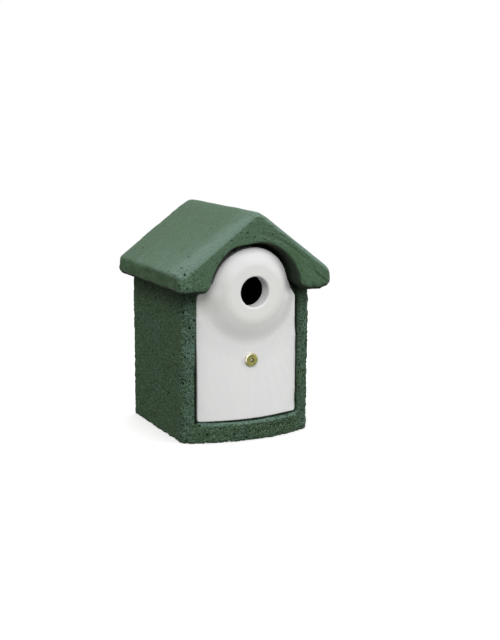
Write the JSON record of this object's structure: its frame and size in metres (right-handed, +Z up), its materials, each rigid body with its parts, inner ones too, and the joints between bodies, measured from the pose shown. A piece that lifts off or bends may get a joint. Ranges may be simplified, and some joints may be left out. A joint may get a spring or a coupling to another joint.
{
  "type": "woodcrete nest box",
  "caption": "Cast woodcrete nest box with a gable roof, a lift-off bowed front with a round entrance hole, a turn latch and a steel hanger on the back.",
  "frame": {"origin": "centre of the bounding box's base: the middle of the roof's depth and width, at the floor's underside", "axes": "+Z up, -Y out of the front with the entrance hole, +X to the right seen from the back"},
  "size_m": [0.1746, 0.1816, 0.2427],
  "materials": {
    "rough_green_woodcrete": "rough granular dark green, open pores",
    "smooth_green_woodcrete": "satin green with sparse pinholes",
    "pale_mineral_coat": "smooth matt off-white coat",
    "yellow_zinc": "yellow passivated zinc",
    "bright_steel": "galvanised",
    "grey_plastic": "matt moulded"
  },
  "bodies": {
    "root": {"body_shell": "rough_green_woodcrete", "roof": "smooth_green_woodcrete", "hanger_bracket": "bright_steel", "hanger_screw_left": "bright_steel", "hanger_screw_right": "bright_steel", "hanger_plug_left": "grey_plastic", "hanger_plug_right": "grey_plastic"},
    "front": {"front_panel": "pale_mineral_coat"},
    "latch": {"latch_bolt": "yellow_zinc", "latch_washer": "yellow_zinc", "latch_spring_washer": "bright_steel", "latch_jam_nut": "yellow_zinc", "latch_bar": "bright_steel", "latch_lock_nut": "yellow_zinc"}
  },
  "joints": [
    {"name": "front_lift_off", "type": "slide", "parent": "root", "child": "front", "axis": [0, -1, 0], "range_m": [0, 0.14]},
    {"name": "latch_turn", "type": "hinge", "parent": "front", "child": "latch", "pos_m": [0, -0.05675, 0.0862], "axis": [0, 1, 0], "range_deg": [0, 90]}
  ]
}
